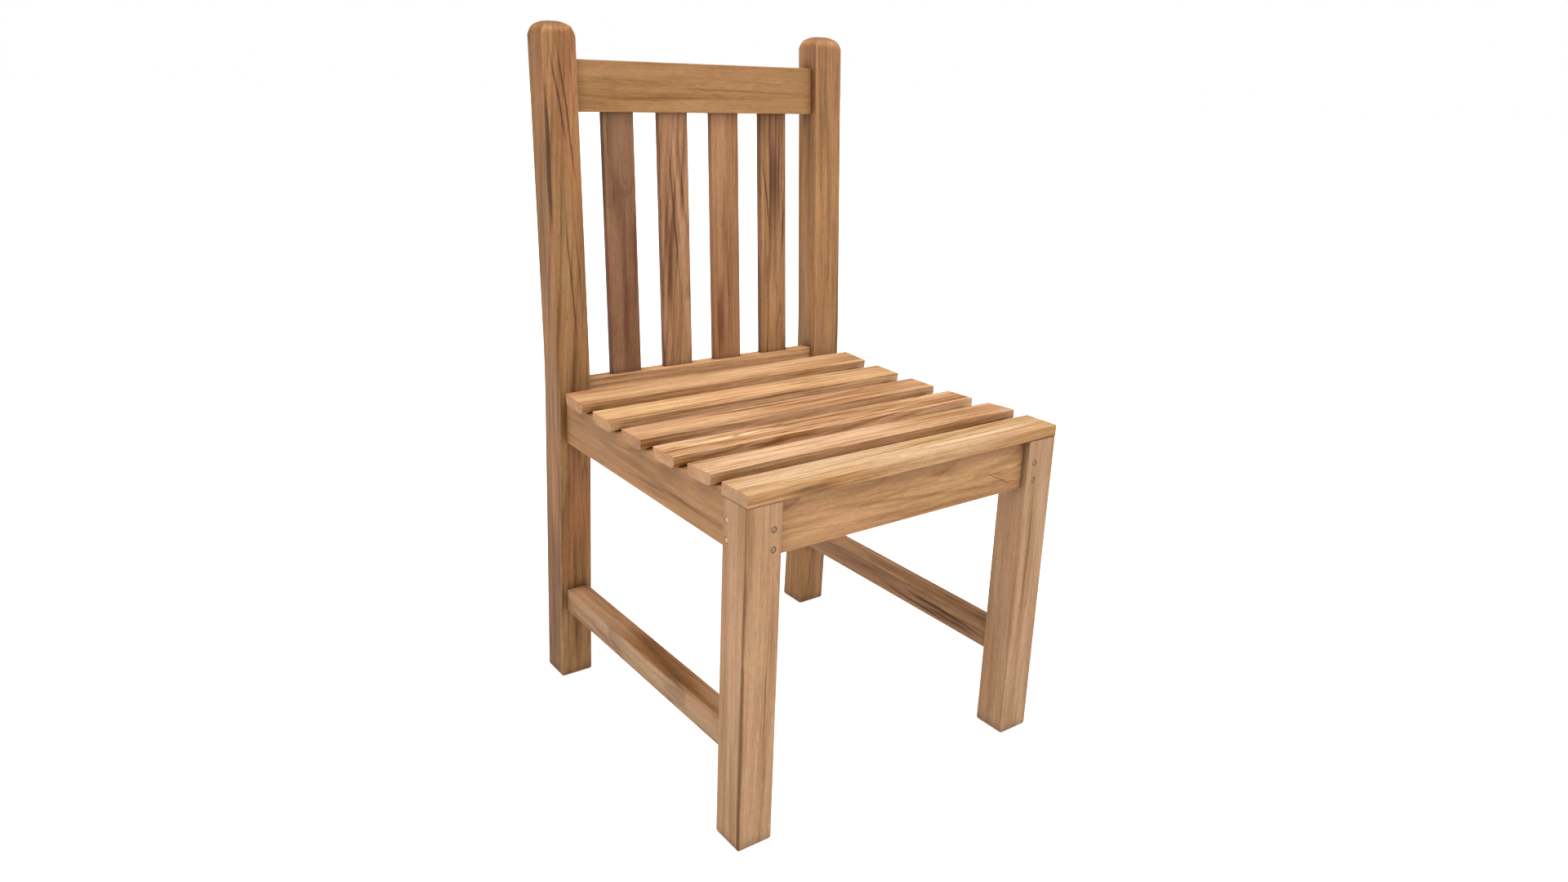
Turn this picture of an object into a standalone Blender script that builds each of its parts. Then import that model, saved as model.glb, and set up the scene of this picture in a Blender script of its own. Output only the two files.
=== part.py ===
"""A slatted hardwood dining chair with no arms, pegged together.

It stands on the plane z = 0 and faces -Y, with its middle on x = 0 and its origin under the middle of its
outline. Two straight front legs and two raked back posts carry a front rail, two dished side rails and two
stretchers. Five slats cross the dished side rails, and a wider front slat lies on the leg tops.
The back is a top rail and a lower back rail with upright slats housed between them. Rails and stretchers
have tenons in mortises, pegs lock the front joints, and screws from below hold the seat slats.
"""

import math

import bmesh
import bpy
import numpy as np
from mathutils import Matrix, Vector

# Overall sizes, all in metres.
HEIGHT = 0.900
WIDTH = 0.475
SEAT_DEPTH = 0.488  # front of the front legs to back of the back posts, where the posts bend
SEAT_HEIGHT = 0.433  # top of the front slat

# Legs and posts.
LEG = 0.046  # side of the square legs, and the width and lower depth of the posts
POST_TOP_DEPTH = 0.044
BEND_DROP = 0.003  # the posts bend this far below the seat
BEND_RADIUS = 1.2
RAKE = math.radians(3.55)  # lean of the posts above the bend
KICK = math.radians(1.4)  # how far the posts run back towards the floor
POST_CROWN = 0.017  # radius round the top of a post
FOOT_CHAMFER = 0.0035

# Rails and stretchers.
RAIL_THICKNESS = 0.022
RAIL_HEIGHT = 0.065
RAIL_SETBACK = 0.0095  # how far a seat rail lies in from the outer faces of the legs
SIDE_RAIL_DROP = 0.0646  # leg top to the underside of a side rail, at the front leg
SIDE_RAIL_TAPER = 0.005  # how much higher that underside is at the back post
STRETCHER_WIDTH = 0.032
STRETCHER_HEIGHT = 0.033
STRETCHER_SETBACK = 0.0078
STRETCHER_CLEAR = 0.1055  # floor to the underside of a stretcher

# Tenons, pegs and the room left round everything that fits in something else.
FIT = 0.0003
RAIL_TENON_THICKNESS = 0.010
RAIL_TENON_FOOT = 0.005  # underside of a seat rail to its tenon
RAIL_TENON_CAP = 0.014  # leg top to the tenon of a seat rail
BACK_TENON_SHOULDER = 0.010
TENON_WALL = 0.0026  # wood left between two tenons that cross in one leg
STRETCHER_TENON_THICKNESS = 0.012
STRETCHER_TENON_SHOULDER = 0.0055
STRETCHER_TENON_LENGTH = 0.020
TENON_ROOT = 0.006  # how far a tenon starts inside its own rail
PEG_RADIUS = 0.0035
FRONT_PEG_RISE = 0.0122  # underside of the front rail to its lower peg
SIDE_PEG_RISE = 0.0168  # underside of a side rail to its lower peg
PEG_SPACING = 0.023
PEGS_PER_TENON = 2
PEG_BEYOND = 0.004  # how far a peg runs past the tenon
PEG_SINK = 0.0002  # end of a peg below the face of the leg
FRONT_PEG_ALONG = 0.62  # place of a peg along its tenon, as a share of the tenon's length
SIDE_PEG_ALONG = 0.44

# Seat.
SLAT_THICKNESS = 0.015
SLAT_WIDTH = 0.0468
SLAT_COUNT = 5  # slats on the side rails, behind the front slat
FRONT_SLAT_WIDTH = 0.0495
FRONT_GAP = 0.0223  # front slat to the next one
REAR_GAP = 0.0195  # last slat to the back posts
DISH_DEPTH = 0.0045
SLAT_UNDER_RADIUS = 0.006
RAIL_END_MARGIN = 0.002  # the dish runs this far past the outermost slats
SCREW_RADIUS = 0.002
SCREW_HEAD_RADIUS = 0.004
SCREW_HEAD_HEIGHT = 0.0025
SCREW_IN_RAIL = 0.022  # wood between the screw's head and the slat
SCREW_IN_SLAT = 0.010
COUNTERBORE_RADIUS = 0.005
FRONT_SCREW_INSET = 0.095  # side of the chair to a screw of the front slat

# Back.
TOP_RAIL_DROP = 0.044  # top of the posts to the top rail
LOWER_RAIL_RISE = 0.008  # seat to the top of the lower back rail
BACK_SETBACK = 0.011
BACK_SLAT_COUNT = 4
BACK_SLAT_WIDTH = 0.0457
BACK_SLAT_THICKNESS = 0.0105
BACK_SLAT_SET = 0.007  # front of a back rail to the front of its slats
BACK_SLAT_HOUSING = 0.018
BACK_END_GAP = 0.0426  # post to the first back slat

# Eased corners, and how finely curves are cut.
EASE = 0.0015
SLAT_EASE = 0.0008
EASE_ANGLE = math.radians(40)  # corners sharper than this are eased, and shaded as corners
EASE_STEPS = 2
CROWN_STEPS = 6
BEND_STEPS = 6
DISH_STEPS = 10
ROUND_STEPS = 3
RAIL_END_STEPS = 4  # of a rail end that follows a bent post
PEG_SIDES = 24
SCREW_SIDES = 16
OVERCUT = 0.002  # how far a cutter runs out through a face

# Which way each side lies, and its name.
SIDES = ((-1, "left"), (1, "right"))

# What follows from the sizes above.
BEND_HEIGHT = SEAT_HEIGHT - BEND_DROP
LEAN = math.tan(RAKE) * (HEIGHT - POST_CROWN - BEND_HEIGHT)  # of a post, from its bend to its crown
TOTAL_DEPTH = SEAT_DEPTH - LEG + LEAN + POST_TOP_DEPTH
FRONT_Y = -TOTAL_DEPTH / 2
SIDE_X = WIDTH / 2
INNER_X = SIDE_X - LEG
LEG_TOP = SEAT_HEIGHT - SLAT_THICKNESS - FIT
LEG_BACK_Y = FRONT_Y + LEG
POST_Y = FRONT_Y + SEAT_DEPTH - LEG
FRONT_RAIL_Y = FRONT_Y + RAIL_SETBACK
SIDE_RAIL_X = SIDE_X - RAIL_SETBACK - RAIL_THICKNESS / 2
SIDE_RAIL_BOTTOM = LEG_TOP - SIDE_RAIL_DROP
SIDE_RAIL_BACK_BOTTOM = SIDE_RAIL_BOTTOM + SIDE_RAIL_TAPER
FRONT_RAIL_BOTTOM = LEG_TOP - RAIL_HEIGHT
TENON_REACH = LEG - RAIL_SETBACK - (RAIL_THICKNESS + RAIL_TENON_THICKNESS) / 2 - TENON_WALL
STRETCHER_X = SIDE_X - STRETCHER_SETBACK - STRETCHER_WIDTH / 2
PEG_LENGTH = RAIL_SETBACK + (RAIL_THICKNESS + RAIL_TENON_THICKNESS) / 2 + PEG_BEYOND
FIRST_SLAT_Y = FRONT_Y + FRONT_SLAT_WIDTH + FRONT_GAP + SLAT_WIDTH / 2
LAST_SLAT_Y = POST_Y - REAR_GAP - SLAT_WIDTH / 2
DISH_Y = (FIRST_SLAT_Y + LAST_SLAT_Y) / 2
DISH_HALF = (LAST_SLAT_Y - FIRST_SLAT_Y) / 2
DISH_RADIUS = (DISH_HALF**2 + DISH_DEPTH**2) / (2 * DISH_DEPTH)
DISH_CENTRE_Z = SEAT_HEIGHT - DISH_DEPTH + DISH_RADIUS
BACK_PLACE = Matrix.Translation((0, POST_Y, BEND_HEIGHT)) @ Matrix.Rotation(-RAKE, 4, "X")
TOP_RAIL_Z = (HEIGHT - BEND_HEIGHT) / math.cos(RAKE) - TOP_RAIL_DROP - RAIL_HEIGHT
LOWER_RAIL_Z = (LOWER_RAIL_RISE + BEND_DROP) / math.cos(RAKE) - RAIL_HEIGHT

# Finish name: colour (red, green, blue), roughness, metallic.
FINISHES = {
    "seat_slat_wood": ((0.68, 0.42, 0.20), 0.58, 0.0),
    "frame_wood": ((0.48, 0.28, 0.16), 0.60, 0.0),
    "rail_wood": ((0.44, 0.25, 0.11), 0.60, 0.0),
    "back_slat_wood": ((0.34, 0.18, 0.10), 0.62, 0.0),
    "peg_end_grain": ((0.36, 0.24, 0.15), 0.75, 0.0),
    "zinc_screw": ((0.55, 0.55, 0.53), 0.40, 1.0),
}


def clear_scene():
    for obj in list(bpy.data.objects):
        bpy.data.objects.remove(obj, do_unlink=True)


def make_material(name):
    """A Principled material with the named finish."""
    colour, roughness, metallic = FINISHES[name]
    material = bpy.data.materials.new(name)
    material.use_nodes = True
    shader = material.node_tree.nodes["Principled BSDF"]
    shader.inputs["Base Color"].default_value = (*colour, 1.0)
    shader.inputs["Roughness"].default_value = roughness
    shader.inputs["Metallic"].default_value = metallic
    material.diffuse_color = (*colour, 1.0)
    return material


# Shapes, each a bmesh.


def add_box(bm, low, high):
    """Adds a box between two corners and returns its vertices."""
    size = [b - a for a, b in zip(low, high)]
    middle = [(a + b) / 2 for a, b in zip(low, high)]
    place = Matrix.Translation(middle) @ Matrix.Diagonal((*size, 1.0))
    return bmesh.ops.create_cube(bm, size=1.0, matrix=place)["verts"]


def box(low, high):
    bm = bmesh.new()
    add_box(bm, low, high)
    return bm


def prism(outline, low_x, high_x):
    """An outline of (y, z) points, anticlockwise seen from +X, carried from low_x to high_x."""
    bm = bmesh.new()
    face = bm.faces.new([bm.verts.new((low_x, y, z)) for y, z in outline])
    moved = bmesh.ops.extrude_face_region(bm, geom=[face])["geom"]
    for vert in [item for item in moved if isinstance(item, bmesh.types.BMVert)]:
        vert.co.x = high_x
    bmesh.ops.recalc_face_normals(bm, faces=bm.faces)
    return bm


def add_turned(bm, profile, sides, place):
    """Adds a solid turned about the local Z axis. The profile is (radius, z) points from foot to head."""
    rings = []
    for radius, z in profile:
        ring = []
        for k in range(sides):
            angle = 2 * math.pi * k / sides
            ring.append(bm.verts.new(place @ Vector((radius * math.cos(angle), radius * math.sin(angle), z))))
        rings.append(ring)
    for lower, upper in zip(rings, rings[1:]):
        for k in range(sides):
            after = (k + 1) % sides
            bm.faces.new((lower[k], lower[after], upper[after], upper[k]))
    bm.faces.new(list(reversed(rings[0])))
    bm.faces.new(rings[-1])


def corner_arc(before, corner, after, radius, steps):
    """Points of the arc that rounds the corner between two straight runs of a (y, z) line."""
    a, b, c = (np.array(point) for point in (before, corner, after))
    into = (a - b) / np.linalg.norm(a - b)
    out = (c - b) / np.linalg.norm(c - b)
    half = math.acos(np.clip(into @ out, -1, 1)) / 2
    centre = b + (into + out) / np.linalg.norm(into + out) * radius / math.sin(half)
    start = b + into * radius / math.tan(half) - centre
    end = b + out * radius / math.tan(half) - centre
    sweep = math.pi - 2 * half
    arc = []
    for t in np.linspace(0, 1, steps + 1):
        share = (math.sin((1 - t) * sweep), math.sin(t * sweep))
        arc.append(tuple(centre + (share[0] * start + share[1] * end) / math.sin(sweep)))
    return arc


# Objects.


def add_object(name, bm, place=None):
    mesh = bpy.data.meshes.new(name)
    bm.to_mesh(mesh)
    bm.free()
    obj = bpy.data.objects.new(name, mesh)
    obj.matrix_world = place or Matrix()
    bpy.context.collection.objects.link(obj)
    return obj


def add_helper(name, bm, place=None):
    """A cutter or an added block, which isn't a piece of the chair."""
    helper = add_object(name, bm, place)
    helper.hide_render = True
    helper.display_type = "WIRE"
    return helper


def add_piece(name, bm, material, place=None, ease=EASE):
    """A piece of the chair, with its sharp corners eased."""
    piece = add_object(name, bm, place)
    piece.data.materials.append(material)
    if ease:
        bevel = piece.modifiers.new("ease", "BEVEL")
        bevel.width = ease
        bevel.segments = EASE_STEPS
        bevel.limit_method = "ANGLE"
        bevel.angle_limit = EASE_ANGLE
    return piece


def combine(piece, helper, operation):
    boolean = piece.modifiers.new(helper.name, "BOOLEAN")
    boolean.operation = operation
    boolean.solver = "EXACT"
    boolean.object = helper


# Tenons. A tenon is given by its low and high corners, and is the same box for the rail that has it and,
# grown by the fit, for the mortise that takes it.


def tenon_blocks(blocks):
    bm = bmesh.new()
    for low, high in blocks:
        add_box(bm, low, high)
    return bm


def grown(block):
    low, high = block
    return tuple(v - FIT for v in low), tuple(v + FIT for v in high)


def front_rail_tenons():
    y = FRONT_RAIL_Y + RAIL_THICKNESS / 2
    low_z = FRONT_RAIL_BOTTOM + RAIL_TENON_FOOT
    high_z = LEG_TOP - RAIL_TENON_CAP
    half = RAIL_TENON_THICKNESS / 2
    for side in (-1, 1):
        ends = sorted((side * (INNER_X - TENON_ROOT), side * (INNER_X + TENON_REACH)))
        yield (ends[0], y - half, low_z), (ends[1], y + half, high_z)


def side_rail_tenons(side):
    x = side * SIDE_RAIL_X
    front_z = SIDE_RAIL_BOTTOM + RAIL_TENON_FOOT
    back_z = SIDE_RAIL_BACK_BOTTOM + RAIL_TENON_FOOT
    high_z = LEG_TOP - RAIL_TENON_CAP
    half = RAIL_TENON_THICKNESS / 2
    yield (x - half, LEG_BACK_Y - TENON_REACH, front_z), (x + half, LEG_BACK_Y + TENON_ROOT, high_z)
    yield (x - half, POST_Y - TENON_ROOT, back_z), (x + half, POST_Y + TENON_REACH, high_z)


def stretcher_tenons(side):
    x = side * STRETCHER_X
    low_z = STRETCHER_CLEAR + STRETCHER_TENON_SHOULDER
    high_z = STRETCHER_CLEAR + STRETCHER_HEIGHT - STRETCHER_TENON_SHOULDER
    half = STRETCHER_TENON_THICKNESS / 2
    reach = STRETCHER_TENON_LENGTH
    post_y = post_front(high_z)
    yield (x - half, LEG_BACK_Y - reach, low_z), (x + half, LEG_BACK_Y + TENON_ROOT, high_z)
    yield (x - half, post_y - TENON_ROOT, low_z), (x + half, post_y + reach, high_z)


def back_rail_tenons(bottom):
    """Tenons of a back rail, in the plane of the back."""
    y = BACK_SETBACK + RAIL_THICKNESS / 2
    low_z = bottom + BACK_TENON_SHOULDER
    high_z = bottom + RAIL_HEIGHT - BACK_TENON_SHOULDER
    half = RAIL_TENON_THICKNESS / 2
    for side in (-1, 1):
        ends = sorted((side * (INNER_X - TENON_ROOT), side * (INNER_X + TENON_REACH)))
        yield (ends[0], y - half, low_z), (ends[1], y + half, high_z)


# Pegs and screws, each given by the place of its foot and the direction it runs in.


def peg_places():
    """(name, place) of each peg. The local Z axis runs from the face of the leg into it."""
    for side, word in SIDES:
        for k in range(PEGS_PER_TENON):
            x = side * (INNER_X + TENON_REACH * FRONT_PEG_ALONG)
            z = FRONT_RAIL_BOTTOM + FRONT_PEG_RISE + k * PEG_SPACING
            place = Matrix.Translation((x, FRONT_Y, z)) @ Matrix.Rotation(-math.pi / 2, 4, "X")
            yield f"front_peg_{word}_{k + 1}", place
        for k in range(PEGS_PER_TENON):
            y = LEG_BACK_Y - TENON_REACH * SIDE_PEG_ALONG
            z = SIDE_RAIL_BOTTOM + SIDE_PEG_RISE + k * PEG_SPACING
            place = Matrix.Translation((side * SIDE_X, y, z)) @ Matrix.Rotation(-side * math.pi / 2, 4, "Y")
            yield f"side_peg_{word}_{k + 1}", place


def slat_places():
    """(number, angle on the dish, place) of each dished slat, from the back forwards."""
    for k, y in enumerate(np.linspace(LAST_SLAT_Y, FIRST_SLAT_Y, SLAT_COUNT)):
        angle = math.asin((y - DISH_Y) / DISH_RADIUS)
        z = DISH_CENTRE_Z - DISH_RADIUS * math.cos(angle)
        yield k + 1, Matrix.Translation((0, y, z)) @ Matrix.Rotation(angle, 4, "X")


def screw_places():
    """(name, place) of each screw, standing on the underside of its slat with local Z up."""
    under = Matrix.Translation((0, 0, -SLAT_THICKNESS))
    for number, place in slat_places():
        for side, word in SIDES:
            across = Matrix.Translation((side * SIDE_RAIL_X, 0, 0))
            yield f"seat_screw_{word}_{number}", place @ under @ across
    for side, word in SIDES:
        x = side * (SIDE_X - FRONT_SCREW_INSET)
        y = FRONT_RAIL_Y + RAIL_THICKNESS / 2
        yield f"front_screw_{word}", Matrix.Translation((x, y, SEAT_HEIGHT - SLAT_THICKNESS))


def screw_profile(room, foot):
    """Head and shank with some room round them. The head's own foot, or the mouth of its bore, is at foot."""
    head_radius = SCREW_HEAD_RADIUS if room == 0 else COUNTERBORE_RADIUS
    neck = -SCREW_IN_RAIL + room
    tip = SCREW_IN_SLAT + room
    return [
        (head_radius, foot),
        (head_radius, neck),
        (SCREW_RADIUS + room, neck),
        (SCREW_RADIUS + room, tip),
    ]


# Lines of the posts.


def post_line(depth_low, depth_high):
    """Outline of one face of a post from floor to top, as (y, z) points, with the bend rounded."""
    lean = math.tan(RAKE)
    kick = math.tan(KICK)
    bend_z = BEND_HEIGHT + (depth_low - depth_high) / (lean + kick)
    bend_y = POST_Y + depth_high + lean * (bend_z - BEND_HEIGHT)
    foot = (bend_y + kick * bend_z, 0.0)
    top = (bend_y + lean * (HEIGHT - bend_z), HEIGHT)
    return [foot, *corner_arc(foot, (bend_y, bend_z), top, BEND_RADIUS, BEND_STEPS), top]


def post_front(z):
    """How far back the front face of a post stands at height z."""
    line = post_line(0, 0)
    return float(np.interp(z, [p[1] for p in line], [p[0] for p in line]))


def end_on_post(low_z, high_z):
    """(y, z) points, going up, of a rail end that follows the front face of a post."""
    return [(post_front(z) - FIT, z) for z in np.linspace(low_z, high_z, RAIL_END_STEPS + 1)]


# Cutters.


def make_cutters():
    """One cutter each for mortises, pegs, back slats and screws, shared by all the pieces they meet."""
    level = [*front_rail_tenons()]
    for side in (-1, 1):
        level += [*side_rail_tenons(side), *stretcher_tenons(side)]
    raked = [*back_rail_tenons(TOP_RAIL_Z), *back_rail_tenons(LOWER_RAIL_Z)]
    pegs = bmesh.new()
    for _, place in peg_places():
        profile = [(PEG_RADIUS + FIT, -OVERCUT), (PEG_RADIUS + FIT, PEG_LENGTH + FIT)]
        add_turned(pegs, profile, PEG_SIDES, place)
    screws = bmesh.new()
    below_rails = -RAIL_HEIGHT - SIDE_RAIL_DROP
    for _, place in screw_places():
        add_turned(screws, screw_profile(FIT, below_rails), SCREW_SIDES, place)
    housings = tenon_blocks(grown(block) for block in back_slat_blocks())
    return {
        "mortises": add_helper("mortise_cutter", tenon_blocks(grown(block) for block in level)),
        "back_mortises": add_helper("back_mortise_cutter", tenon_blocks(grown(b) for b in raked), BACK_PLACE),
        "pegs": add_helper("peg_cutter", pegs),
        "screws": add_helper("screw_cutter", screws),
        "housings": add_helper("housing_cutter", housings, BACK_PLACE),
    }


# Pieces.


def make_front_leg(word, side, material, cutters):
    inner, outer = sorted((side * INNER_X, side * SIDE_X))
    bm = box((inner, FRONT_Y, 0), (outer, LEG_BACK_Y, LEG_TOP))
    leg = add_piece(f"front_leg_{word}", bm, material, ease=0)
    weigh_edges(leg, POST_CROWN, {"foot": FOOT_CHAMFER, "rest": EASE})
    add_weighted_bevel(leg, POST_CROWN, EASE_STEPS)
    combine(leg, cutters["mortises"], "DIFFERENCE")
    combine(leg, cutters["pegs"], "DIFFERENCE")


def make_back_post(word, side, material, cutters):
    front = post_line(0, 0)
    back = post_line(LEG, POST_TOP_DEPTH)
    low_x, high_x = sorted((side * INNER_X, side * SIDE_X))
    outline = [*reversed(front), *back]
    post = add_piece(f"back_post_{word}", prism(outline, low_x, high_x), material, ease=0)
    weigh_edges(post, POST_CROWN, {"foot": FOOT_CHAMFER, "crown": POST_CROWN, "rest": EASE})
    add_weighted_bevel(post, POST_CROWN, CROWN_STEPS)
    combine(post, cutters["mortises"], "DIFFERENCE")
    combine(post, cutters["back_mortises"], "DIFFERENCE")


def weigh_edges(obj, widest, widths):
    """Sets each edge's share of the widest bevel: round the foot, round the crown, and along the corners."""
    bm = bmesh.new()
    bm.from_mesh(obj.data)
    layer = bm.edges.layers.float.new("bevel_weight_edge")
    top = max(vert.co.z for vert in bm.verts)
    for edge in bm.edges:
        heights = [vert.co.z for vert in edge.verts]
        if max(heights) < FIT:
            edge[layer] = widths["foot"] / widest
        elif min(heights) > top - FIT:
            edge[layer] = widths.get("crown", widths["rest"]) / widest
        elif edge.calc_face_angle(0) > EASE_ANGLE:
            edge[layer] = widths["rest"] / widest
    bm.to_mesh(obj.data)
    bm.free()


def add_weighted_bevel(obj, width, steps):
    bevel = obj.modifiers.new("ease", "BEVEL")
    bevel.limit_method = "WEIGHT"
    bevel.width = width
    bevel.segments = steps


def make_front_rail(material, cutters):
    end_x = INNER_X - FIT
    low = (-end_x, FRONT_RAIL_Y, FRONT_RAIL_BOTTOM)
    high = (end_x, FRONT_RAIL_Y + RAIL_THICKNESS, LEG_TOP)
    rail = add_piece("front_rail", box(low, high), material)
    combine(rail, add_helper("front_rail_tenons", tenon_blocks(front_rail_tenons())), "UNION")
    combine(rail, cutters["pegs"], "DIFFERENCE")
    combine(rail, cutters["screws"], "DIFFERENCE")


def side_rail_top():
    """(y, z) points, going forwards, of a side rail's dished top with its flat ends."""
    radius = DISH_RADIUS + SLAT_THICKNESS + FIT
    reach = DISH_HALF + SLAT_WIDTH / 2 + RAIL_END_MARGIN
    end_angle = math.asin(reach / radius)
    dish = []
    for angle in np.linspace(end_angle, -end_angle, DISH_STEPS + 1):
        dish.append((DISH_Y + radius * math.sin(angle), DISH_CENTRE_Z - radius * math.cos(angle)))
    under_front_slat = FRONT_Y + FRONT_SLAT_WIDTH + RAIL_END_MARGIN
    return [*dish, (under_front_slat, LEG_TOP)]


def make_side_rail(word, side, material, cutters):
    low_x = side * SIDE_RAIL_X - RAIL_THICKNESS / 2
    top = side_rail_top()
    outline = [
        (LEG_BACK_Y + FIT, SIDE_RAIL_BOTTOM),
        *end_on_post(SIDE_RAIL_BACK_BOTTOM, top[0][1]),
        *top,
        (LEG_BACK_Y + FIT, LEG_TOP),
    ]
    rail = add_piece(f"side_rail_{word}", prism(outline, low_x, low_x + RAIL_THICKNESS), material)
    tenons = tenon_blocks(side_rail_tenons(side))
    combine(rail, add_helper(f"side_rail_tenons_{word}", tenons), "UNION")
    combine(rail, cutters["pegs"], "DIFFERENCE")
    combine(rail, cutters["screws"], "DIFFERENCE")


def make_stretcher(word, side, material):
    low_x = side * STRETCHER_X - STRETCHER_WIDTH / 2
    top = STRETCHER_CLEAR + STRETCHER_HEIGHT
    outline = [
        (LEG_BACK_Y + FIT, STRETCHER_CLEAR),
        *end_on_post(STRETCHER_CLEAR, top),
        (LEG_BACK_Y + FIT, top),
    ]
    bar = add_piece(f"side_stretcher_{word}", prism(outline, low_x, low_x + STRETCHER_WIDTH), material)
    tenons = tenon_blocks(stretcher_tenons(side))
    combine(bar, add_helper(f"stretcher_tenons_{word}", tenons), "UNION")


def make_back_rail(name, bottom, material, cutters):
    end_x = INNER_X - FIT
    low = (-end_x, BACK_SETBACK, bottom)
    high = (end_x, BACK_SETBACK + RAIL_THICKNESS, bottom + RAIL_HEIGHT)
    rail = add_piece(name, box(low, high), material, BACK_PLACE)
    tenons = tenon_blocks(back_rail_tenons(bottom))
    combine(rail, add_helper(f"{name}_tenons", tenons, BACK_PLACE), "UNION")
    combine(rail, cutters["housings"], "DIFFERENCE")


def back_slat_blocks():
    """Low and high corners of each upright slat, from the left, in the plane of the back."""
    first = -INNER_X + BACK_END_GAP + BACK_SLAT_WIDTH / 2
    low_y = BACK_SETBACK + BACK_SLAT_SET
    low_z = LOWER_RAIL_Z + RAIL_HEIGHT - BACK_SLAT_HOUSING
    high_z = TOP_RAIL_Z + BACK_SLAT_HOUSING
    for x in np.linspace(first, -first, BACK_SLAT_COUNT):
        half = BACK_SLAT_WIDTH / 2
        yield (x - half, low_y, low_z), (x + half, low_y + BACK_SLAT_THICKNESS, high_z)


def make_back_slats(material):
    for number, (low, high) in enumerate(back_slat_blocks(), 1):
        add_piece(f"back_slat_{number}", box(low, high), material, BACK_PLACE)


def slat_outline(width):
    """A slat's (y, z) outline about the middle of its top, with both lower corners rounded."""
    half = width / 2
    low = -SLAT_THICKNESS
    radius = SLAT_UNDER_RADIUS
    front = corner_arc((-half, 0), (-half, low), (half, low), radius, ROUND_STEPS)
    back = corner_arc((-half, low), (half, low), (half, 0), radius, ROUND_STEPS)
    return [(-half, 0), *front, *back, (half, 0)]


def make_seat_slats(material, cutters):
    for number, place in slat_places():
        bm = prism(slat_outline(SLAT_WIDTH), -SIDE_X, SIDE_X)
        slat = add_piece(f"seat_slat_{number}", bm, material, place, SLAT_EASE)
        combine(slat, cutters["screws"], "DIFFERENCE")
    low = (-SIDE_X, FRONT_Y, SEAT_HEIGHT - SLAT_THICKNESS)
    high = (SIDE_X, FRONT_Y + FRONT_SLAT_WIDTH, SEAT_HEIGHT)
    front = add_piece(f"seat_slat_{SLAT_COUNT + 1}", box(low, high), material, ease=SLAT_EASE)
    combine(front, cutters["screws"], "DIFFERENCE")


def make_pegs(material):
    for name, place in peg_places():
        bm = bmesh.new()
        add_turned(bm, [(PEG_RADIUS, PEG_SINK), (PEG_RADIUS, PEG_LENGTH)], PEG_SIDES, Matrix())
        smooth(add_piece(name, bm, material, place, ease=0))


def make_screws(material):
    for name, place in screw_places():
        bm = bmesh.new()
        foot = -SCREW_IN_RAIL - SCREW_HEAD_HEIGHT
        add_turned(bm, screw_profile(0, foot), SCREW_SIDES, Matrix())
        smooth(add_piece(name, bm, material, place, ease=0))


def smooth(obj):
    obj.data.shade_smooth()
    obj.data.set_sharp_from_angle(angle=EASE_ANGLE)


def main():
    clear_scene()
    materials = {name: make_material(name) for name in FINISHES}
    cutters = make_cutters()
    for side, word in SIDES:
        make_front_leg(word, side, materials["frame_wood"], cutters)
        make_back_post(word, side, materials["frame_wood"], cutters)
        make_side_rail(word, side, materials["rail_wood"], cutters)
        make_stretcher(word, side, materials["rail_wood"])
    make_front_rail(materials["rail_wood"], cutters)
    make_back_rail("top_rail", TOP_RAIL_Z, materials["rail_wood"], cutters)
    make_back_rail("lower_back_rail", LOWER_RAIL_Z, materials["rail_wood"], cutters)
    make_back_slats(materials["back_slat_wood"])
    make_seat_slats(materials["seat_slat_wood"], cutters)
    make_pegs(materials["peg_end_grain"])
    make_screws(materials["zinc_screw"])


main()
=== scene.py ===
"""Finish, light and camera for a slatted teak dining chair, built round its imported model.

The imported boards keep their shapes. Each one is dressed in the figure of the log it was sawn from, worked out
in millimetres along the board's own axes, and its eased corners are shaded as curves. The pegs and the screws
are replaced by turned pieces made here. A white sweep of floor, a bright room and two soft lamps light it.
"""

import logging
import math
from dataclasses import dataclass, field, replace
from enum import Enum

import bpy
import numpy as np
from mathutils import Matrix, Vector

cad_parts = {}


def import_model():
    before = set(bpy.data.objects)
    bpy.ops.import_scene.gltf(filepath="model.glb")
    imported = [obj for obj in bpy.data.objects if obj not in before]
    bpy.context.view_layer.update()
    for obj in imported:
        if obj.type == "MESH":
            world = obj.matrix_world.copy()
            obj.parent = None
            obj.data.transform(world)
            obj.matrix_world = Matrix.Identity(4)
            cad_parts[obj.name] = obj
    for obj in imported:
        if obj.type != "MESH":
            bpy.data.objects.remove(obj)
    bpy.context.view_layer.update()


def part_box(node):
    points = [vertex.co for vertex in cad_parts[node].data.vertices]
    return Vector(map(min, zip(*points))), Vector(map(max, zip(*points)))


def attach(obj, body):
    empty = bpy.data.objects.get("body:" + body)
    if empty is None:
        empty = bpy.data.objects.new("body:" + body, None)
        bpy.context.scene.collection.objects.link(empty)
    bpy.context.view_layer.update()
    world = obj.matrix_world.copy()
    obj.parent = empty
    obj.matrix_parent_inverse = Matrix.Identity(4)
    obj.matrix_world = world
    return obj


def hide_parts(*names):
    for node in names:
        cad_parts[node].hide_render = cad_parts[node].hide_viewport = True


LOG = logging.getLogger("chair")
MM = 0.001
BODY = "root"
RAKE = math.radians(3.55)  # lean of the back
DISH_RADIUS = 2.57  # of the curve that the seat slats follow, in metres
SMOOTH = {"interpolation_type": "SMOOTHSTEP"}  # a setting that many nodes share


# Helpers.


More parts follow.
